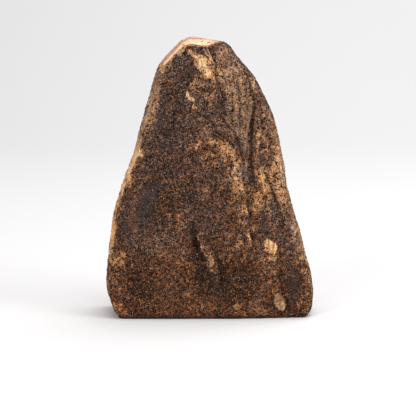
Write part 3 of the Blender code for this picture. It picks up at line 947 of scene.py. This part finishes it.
def crust_colour(tree, place):
    """The peppered skin: brown paste, dark dust, tan and cream where the pepper is off, bluish grey patches
    partly painted sheen, painted shade in the creases, painted highlight on the crests and painted shadow at
    the foot.
    """
    moved = node(tree, "ShaderNodeVectorMath", {0: place, 1: ELSEWHERE}, operation="ADD")
    elsewhere = moved.outputs["Vector"]
    patchy = grain_noise(tree, place, 200, 3, 0.65)
    apart = node(tree, "ShaderNodeSeparateXYZ", {"Vector": place}).outputs
    low_down = between(tree, apart["Z"], 0.08, 0.0, 0.0, 0.09)
    tint = maths(tree, "ADD", grain_noise(tree, elsewhere, 150, 3, 0.6), low_down)
    fine = grain_noise(tree, place, 640, 2, 0.6)
    dust = grain_noise(tree, place, 1100, 1, 0.5)
    dark = attribute(tree, "dark")
    bare = attribute(tree, "bare")
    worn = attribute(tree, "worn")

    tone = mixed(tree, (patchy, 1.0), (dark, -0.16), (worn, 0.15))
    paste = tones(tree, tone, (0.38, CRUST_DARK), (0.64, CRUST_BROWN))
    wander = maths(tree, "SUBTRACT", grain_noise(tree, elsewhere, 260, 2, 0.6), 0.5)
    veins = between(tree, maths(tree, "ABSOLUTE", wander, 0.0), 0.0, 0.035, 1.0, 0.0)
    rubbed = mixed(tree, (worn, 1.0), (fine, 0.9), (patchy, 0.4), (veins, 0.22))
    worn_skin = tones(tree, mixed(tree, (rubbed, 0.5), (dust, 0.5)), (0.73, WORN_BROWN), (0.97, WORN_TAN))
    colour = blend(tree, between(tree, rubbed, 0.82, 0.98), paste, worn_skin)
    colour = blend(tree, between(tree, tint, 0.50, 0.68, 0.0, 0.46), colour, RUST)
    colour = blend(tree, between(tree, tint, 0.48, 0.34, 0.0, 0.50), colour, SLATE)
    dusty = mixed(tree, (dust, 0.8), (fine, 0.4), (worn, -0.06), (dark, 0.12))
    specks = between(tree, dusty, 0.60, 0.64)
    colour = blend(tree, maths(tree, "MULTIPLY", specks, 0.88), colour, PEPPER_DUST_AND_FOOT_SHADE)

    streaks_at = node(tree, "ShaderNodeMapping", {
        "Vector": place,
        "Rotation": (0.0, math.radians(-28), 0.0),
        "Scale": (1.0, 1.0, 0.28),
    }).outputs["Vector"]
    streaks = grain_noise(tree, streaks_at, 520, 3, 0.7)
    opened = mixed(tree, (bare, 1.0), (dust, 0.60), (fine, 0.55), (patchy, 0.35))
    open_share = between(tree, opened, 1.29, 1.38)
    scar = tones(tree, mixed(tree, (bare, 0.30), (dust, 0.50), (streaks, 0.80)),
                 (0.76, SCAR_RUST), (0.88, SCAR_TAN), (0.98, SCAR_CREAM))
    crust = tinted(tree, place, colour, TINT)
    colour = blend(tree, open_share, crust, tinted(tree, place, scar, SCAR_TINT))
    knob = attribute(tree, "knob")
    rind = tones(tree, mixed(tree, (streaks, 0.6), (patchy, 0.4)), (0.40, KNOB_OLIVE), (0.62, KNOB_PALE))
    colour = blend(tree, between(tree, mixed(tree, (knob, 1.0), (fine, 0.5)), 0.65, 0.90), colour, rind)

    # bluish grey on the smooth ashen patches, partly the crust's own colour and partly a painted sheen
    ash_and_sheen_share = maths(tree, "MULTIPLY", attribute(tree, "ash_and_sheen"), between(tree, dust, 0.30, 0.62, 0.55, 1.0))
    colour = blend(tree, ash_and_sheen_share, colour, ASH_AND_SHEEN_GREY)
    # painted shade in the creases and in the furrows round the knobs, strongest where the crease is deepest
    crease_shade_share = between(tree, dust, 0.40, 0.60, 0.80, 0.45)
    painted_crease_shade = maths(tree, "MULTIPLY", attribute(tree, "crevice"), crease_shade_share, clamp=True)
    colour = blend(tree, painted_crease_shade, colour, CREASE_SHADE)
    # painted highlight along the crests of the raised folds
    crest_highlight = between(tree, mixed(tree, (attribute(tree, "crest_highlight"), 1.0), (fine, 0.7)), 0.85, 1.10, 0.0, 0.75)
    colour = blend(tree, crest_highlight, colour, CREST_HIGHLIGHT)
    # painted shadow along the foot, where the jowl meets the floor
    painted_foot_shadow = between(tree, apart["Z"], 0.006, 0.001, 0.0, 0.75)
    colour = blend(tree, painted_foot_shadow, colour, PEPPER_DUST_AND_FOOT_SHADE)
    return colour, open_share, fine, dust


def crust_material():
    material, tree, shader = new_material("peppered_skin")
    place = node(tree, "ShaderNodeTexCoord").outputs["Object"]
    colour, open_share, fine, dust = crust_colour(tree, place)
    tree.links.new(colour, shader.inputs["Base Color"])
    roughness = between(tree, open_share, 0.0, 1.0, 0.86, 0.58)
    tree.links.new(roughness, shader.inputs["Roughness"])
    shader.inputs["Specular IOR Level"].default_value = 0.12
    rough_skin = maths(tree, "ADD", fine, maths(tree, "MULTIPLY", dust, 0.5))
    relief(tree, shader, mixed(tree, (rough_skin, 1.0), (attribute(tree, "crevice"), -1.2)), 0.0012, 0.9)
    return material


FAT_PALE = srgb(240, 209, 174)
FAT_CREAM = srgb(228, 184, 138)
FAT_EDGE = srgb(206, 142, 80)
LEAN_PINK = srgb(206, 130, 108)
LEAN_DARK = srgb(162, 82, 66)


def cut_material():
    """The knife cuts: cream fat, a pink streak of lean towards the back, and the crust's edge."""
    material, tree, shader = new_material("cut_fat_and_lean")
    place = node(tree, "ShaderNodeTexCoord").outputs["Object"]
    apart = node(tree, "ShaderNodeSeparateXYZ", {"Vector": place}).outputs
    broad = grain_noise(tree, place, 90, 2, 0.5)
    patchy = grain_noise(tree, place, 300, 2, 0.6)
    fine = grain_noise(tree, place, 700, 2, 0.6)
    drawn_out = node(tree, "ShaderNodeMapping", {"Vector": place, "Scale": (1.0, 6.0, 1.0)})
    fibres = grain_noise(tree, drawn_out.outputs["Vector"], 420, 3, 0.6)
    rim = attribute(tree, "rim")

    fat = tones(tree, mixed(tree, (broad, 0.6), (fine, 0.4)), (0.38, FAT_CREAM), (0.60, FAT_PALE))
    edge = between(tree, mixed(tree, (rim, 1.0), (patchy, -5.0)), -1.0, 1.7, 1.0, 0.0)
    thin_end = between(tree, mixed(tree, (apart["X"], 1.0), (patchy, 0.012)), 0.002, 0.014, 0.0, 0.9)
    fat = blend(tree, maths(tree, "MAXIMUM", maths(tree, "MULTIPLY", edge, 0.90), thin_end), fat, FAT_EDGE)

    depth = mixed(tree, (apart["Y"], 1.0), (broad, 0.014))
    middle = between(tree, apart["X"], -0.045, 0.015, 0.0140, 0.0230)
    half = between(tree, apart["X"], -0.045, 0.005, 0.0105, 0.0016)
    off = maths(tree, "ABSOLUTE", maths(tree, "SUBTRACT", depth, middle), 0.0)
    streak = between(tree, maths(tree, "DIVIDE", off, half), 0.75, 1.15, 1.0, 0.0)
    lean = tones(tree, fibres, (0.38, LEAN_DARK), (0.60, LEAN_PINK))
    colour = blend(tree, maths(tree, "MULTIPLY", streak, 0.92), fat, lean)

    crust = between(tree, mixed(tree, (rim, 1.0), (patchy, -6.5)), -1.9, -1.5, 1.0, 0.0)
    colour = blend(tree, crust, colour, CRUST_DARK)
    tree.links.new(colour, shader.inputs["Base Color"])
    shader.inputs["Roughness"].default_value = 0.48
    shader.inputs["Subsurface Weight"].default_value = 0.25
    shader.inputs["Subsurface Scale"].default_value = 0.004
    shader.inputs["Subsurface Radius"].default_value = (1.0, 0.5, 0.35)
    relief(tree, shader, maths(tree, "ADD", fibres, fine), 0.0004, 0.5)
    return material


PEPPER_ROUGHNESS = 0.68


def pepper_material(name, dark, light):
    """One kind of pepper, each bit of it a little lighter or darker."""
    material, tree, shader = new_material(name)
    place = node(tree, "ShaderNodeTexCoord").outputs["Object"]
    bits = grain_noise(tree, place, 640, 2, 0.7)
    bit = tones(tree, bits, (0.36, dark), (0.64, light))
    tree.links.new(tinted(tree, place, bit, TINT), shader.inputs["Base Color"])
    shader.inputs["Roughness"].default_value = PEPPER_ROUGHNESS
    shader.inputs["Specular IOR Level"].default_value = 0.10
    relief(tree, shader, grain_noise(tree, place, 3200, 2, 0.6), 0.0002, 0.6)
    return material


# ---------------------------------------- cracked pepper

# How many bits of each kind, how large, from how dark to how light, how much of it lies on bare skin, on worn
# skin and on the cut, and how flat a bit is
Pepper = namedtuple("Pepper", "name count size dark light on_bare on_worn on_cut flatness")
PEPPERS = (
    Pepper("black_pepper_coarse", 16000, (0.0012, 0.0021), srgb(23, 15, 11), srgb(46, 34, 25),
           0.10, 0.58, 0.05, 0.60),
    Pepper("black_pepper_cracked", 16500, (0.0009, 0.0015), srgb(23, 15, 11), srgb(52, 38, 28),
           0.25, 0.95, 0.07, 0.60),
    Pepper("black_pepper_fine", 16000, (0.0007, 0.0011), srgb(23, 16, 11), srgb(48, 35, 26),
           0.40, 0.95, 0.08, 0.70),
    Pepper("brown_pepper_cracked", 13000, (0.0008, 0.0015), srgb(74, 54, 42), srgb(126, 94, 72),
           0.30, 0.9, 0.01, 0.50),
    Pepper("grey_pepper_cracked", 4000, (0.0007, 0.0013), srgb(96, 82, 74), srgb(144, 124, 110),
           0.1, 0.8, 0.0, 0.50),
    Pepper("pale_pepper_cracked", 11000, (0.0006, 0.0011), srgb(152, 115, 91), srgb(226, 184, 150),
           0.5, 2.8, 0.0, 0.50),
)
ON_ASH = 0.85               # share of the pepper missing on the smooth ashen patches
FLOOR_CLEARANCE = 0.0022    # height under which the skin gets no pepper
SINK = 0.30                 # how deep a bit's middle lies under the skin, as a share of its thickness
SHARD_KINDS = 6
PEPPER_SEED = 29


def model_shard(flatness, seed):
    """One broken bit of a peppercorn about 1 across, as its corners and triangles."""
    nothing_selected()
    bpy.ops.mesh.primitive_cube_add(size=0.78)
    shard = bpy.context.object
    bpy.ops.object.mode_set(mode="EDIT")
    bpy.ops.mesh.select_all(action="SELECT")
    bpy.ops.transform.resize(value=(1.15, 0.9, flatness))
    bpy.ops.transform.vertex_random(offset=0.16, uniform=0.2, normal=0.3, seed=seed)
    bpy.ops.mesh.quads_convert_to_tris()
    bpy.ops.mesh.normals_make_consistent(inside=False)
    bpy.ops.object.mode_set(mode="OBJECT")
    corners = places_of(shard.data)
    triangles = np.array([tuple(face.vertices) for face in shard.data.polygons])
    bpy.data.objects.remove(shard, do_unlink=True)
    return corners, triangles


def spots_on(mesh, weights, count, chance):
    """Spots spread over a mesh by its area and the points' weights: (place, way out)."""
    mesh.calc_loop_triangles()
    triangles = np.empty(len(mesh.loop_triangles) * 3, np.int32)
    mesh.loop_triangles.foreach_get("vertices", triangles)
    triangles = triangles.reshape(-1, 3)
    places = places_of(mesh)
    normals = normals_of(mesh)
    a, b, c = (places[triangles[:, k]] for k in range(3))
    areas = np.linalg.norm(np.cross(b - a, c - a), axis=1) * weights[triangles].mean(axis=1)
    reach = np.cumsum(areas)
    chosen = triangles[np.searchsorted(reach, chance.random(count) * reach[-1])]
    shares = chance.dirichlet((1.0, 1.0, 1.0), count)
    spots = np.einsum("nk,nkx->nx", shares, places[chosen])
    ways = np.einsum("nk,nkx->nx", shares, normals[chosen])
    return spots, ways / np.linalg.norm(ways, axis=1)[:, None]


def turned(ways, chance):
    """For each way out, three axes with a random spin and a slight tilt."""
    up = ways + chance.normal(0, 0.28, ways.shape)
    up /= np.linalg.norm(up, axis=1)[:, None]
    side = np.cross(up, chance.normal(size=ways.shape))
    side /= np.linalg.norm(side, axis=1)[:, None]
    return np.stack((side, np.cross(up, side), up), axis=1)


def scatter(pepper, shards, spots, ways, chance):
    """Joins a bit of pepper at every spot into one piece."""
    sizes = chance.uniform(*pepper.size, len(spots))
    axes = turned(ways, chance)
    kinds = chance.integers(len(shards), size=len(spots))
    hues = warmth_at(spots, ways[:, 1])
    corners, triangles, warmth, start = [], [], [], 0
    for kind, (shape, faces) in enumerate(shards):
        mine = kinds == kind
        points = np.einsum("cx,nxy->ncy", shape, axes[mine]) * sizes[mine][:, None, None]
        points += (spots[mine] - ways[mine] * (sizes[mine] * SINK * pepper.flatness)[:, None])[:, None, :]
        steps = np.arange(mine.sum())[:, None, None] * len(shape)
        triangles.append((faces[None] + steps + start).reshape(-1, 3))
        corners.append(points.reshape(-1, 3))
        warmth.append(np.repeat(hues[mine], len(shape)))
        start += len(corners[-1])
    mesh = bpy.data.meshes.new(pepper.name)
    mesh.from_pydata(np.concatenate(corners).tolist(), [], np.concatenate(triangles).tolist())
    mesh.update()
    give(mesh, "warmth", np.concatenate(warmth))
    piece = bpy.data.objects.new(pepper.name, mesh)
    scene.collection.objects.link(piece)
    mesh.materials.append(pepper_material(pepper.name, pepper.dark, pepper.light))
    return piece


def add_pepper(jowl, field):
    above_floor = places_of(jowl.data)[:, 2] > FLOOR_CLEARANCE
    for number, pepper in enumerate(PEPPERS):
        chance = np.random.default_rng(PEPPER_SEED + number)
        shards = [model_shard(pepper.flatness, seed) for seed in range(1, SHARD_KINDS + 1)]
        weights = field["peppered"] * (1 - (1 - pepper.on_bare) * field["bare"])
        weights *= 1 - (1 - pepper.on_worn) * field["worn"]
        weights = (weights + field["cut"] * pepper.on_cut) * above_floor
        spots, ways = spots_on(jowl.data, weights, pepper.count, chance)
        piece = scatter(pepper, shards, spots, ways, chance)
        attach(piece, "root")


def main():
    add_camera()
    add_lights()
    add_backdrop()
    jowl, field = shape_jowl()
    jowl.data.materials.clear()
    jowl.data.materials.append(crust_material())
    jowl.data.materials.append(cut_material())
    for face in jowl.data.polygons:
        face.material_index = int(min(field["cut"][v] for v in face.vertices) > 0.5)
    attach(jowl, "root")
    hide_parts("guanciale")
    add_pepper(jowl, field)


main()
